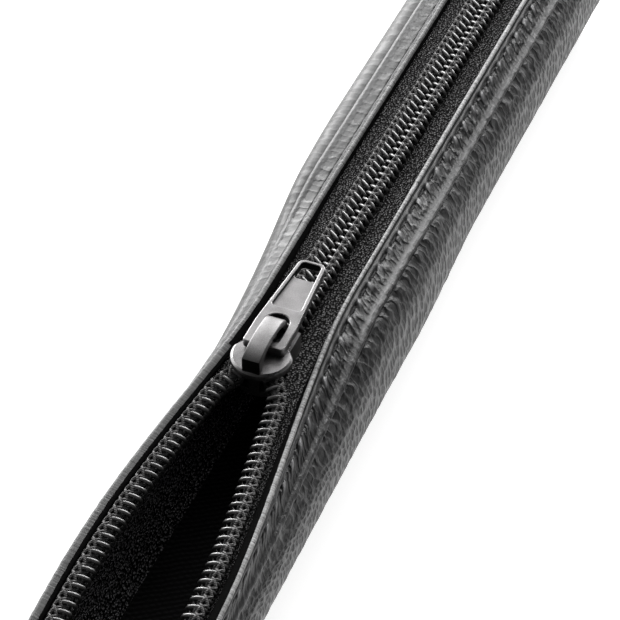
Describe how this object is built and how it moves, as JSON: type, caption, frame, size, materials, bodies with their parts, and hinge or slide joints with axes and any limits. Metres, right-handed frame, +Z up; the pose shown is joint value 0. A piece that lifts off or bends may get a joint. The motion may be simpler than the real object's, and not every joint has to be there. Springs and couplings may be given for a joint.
{
  "type": "fountain pen case",
  "caption": "Slim tubular leather case for fountain pens, opened along its top by a coil zip with a locking slider and a tapered pull.",
  "frame": {"origin": "centre of the case's box on the plane that it rests on", "axes": "+X along the case towards the closed half of the zip, +Y to the left seen from the open end, +Z up through the zip"},
  "size_m": [0.216, 0.0266, 0.0258],
  "materials": {
    "leather": "pebbled black leather",
    "lining": "black twill",
    "tape": "black woven tape",
    "coil": "metallised dark nylon",
    "slider": "satin gunmetal",
    "spring": "plain steel"
  },
  "bodies": {
    "case": {"body_panel": "leather", "near_end_panel": "leather", "far_end_panel": "leather", "body_lining": "lining", "near_end_lining": "lining", "far_end_lining": "lining", "tape_left": "tape", "tape_right": "tape", "coil_left": "coil", "coil_right": "coil", "top_stop_left": "slider", "top_stop_right": "slider", "bottom_stop": "slider"},
    "slider": {"slider_body": "slider", "slider_crown": "slider", "lock_spring": "spring"},
    "pull": {"pull_tab": "slider"}
  },
  "joints": [
    {"name": "zip_slide", "type": "slide", "parent": "case", "child": "slider", "axis": [1, 0, 0], "range_m": [-0.087, 0.1], "deforming": ["coil_left", "coil_right", "tape_left", "tape_right"]},
    {"name": "pull_swing", "type": "hinge", "parent": "slider", "child": "pull", "pos_m": [-0.0072, 0, 0.0235], "axis": [0, -1, 0], "range_deg": [0, 160]}
  ]
}
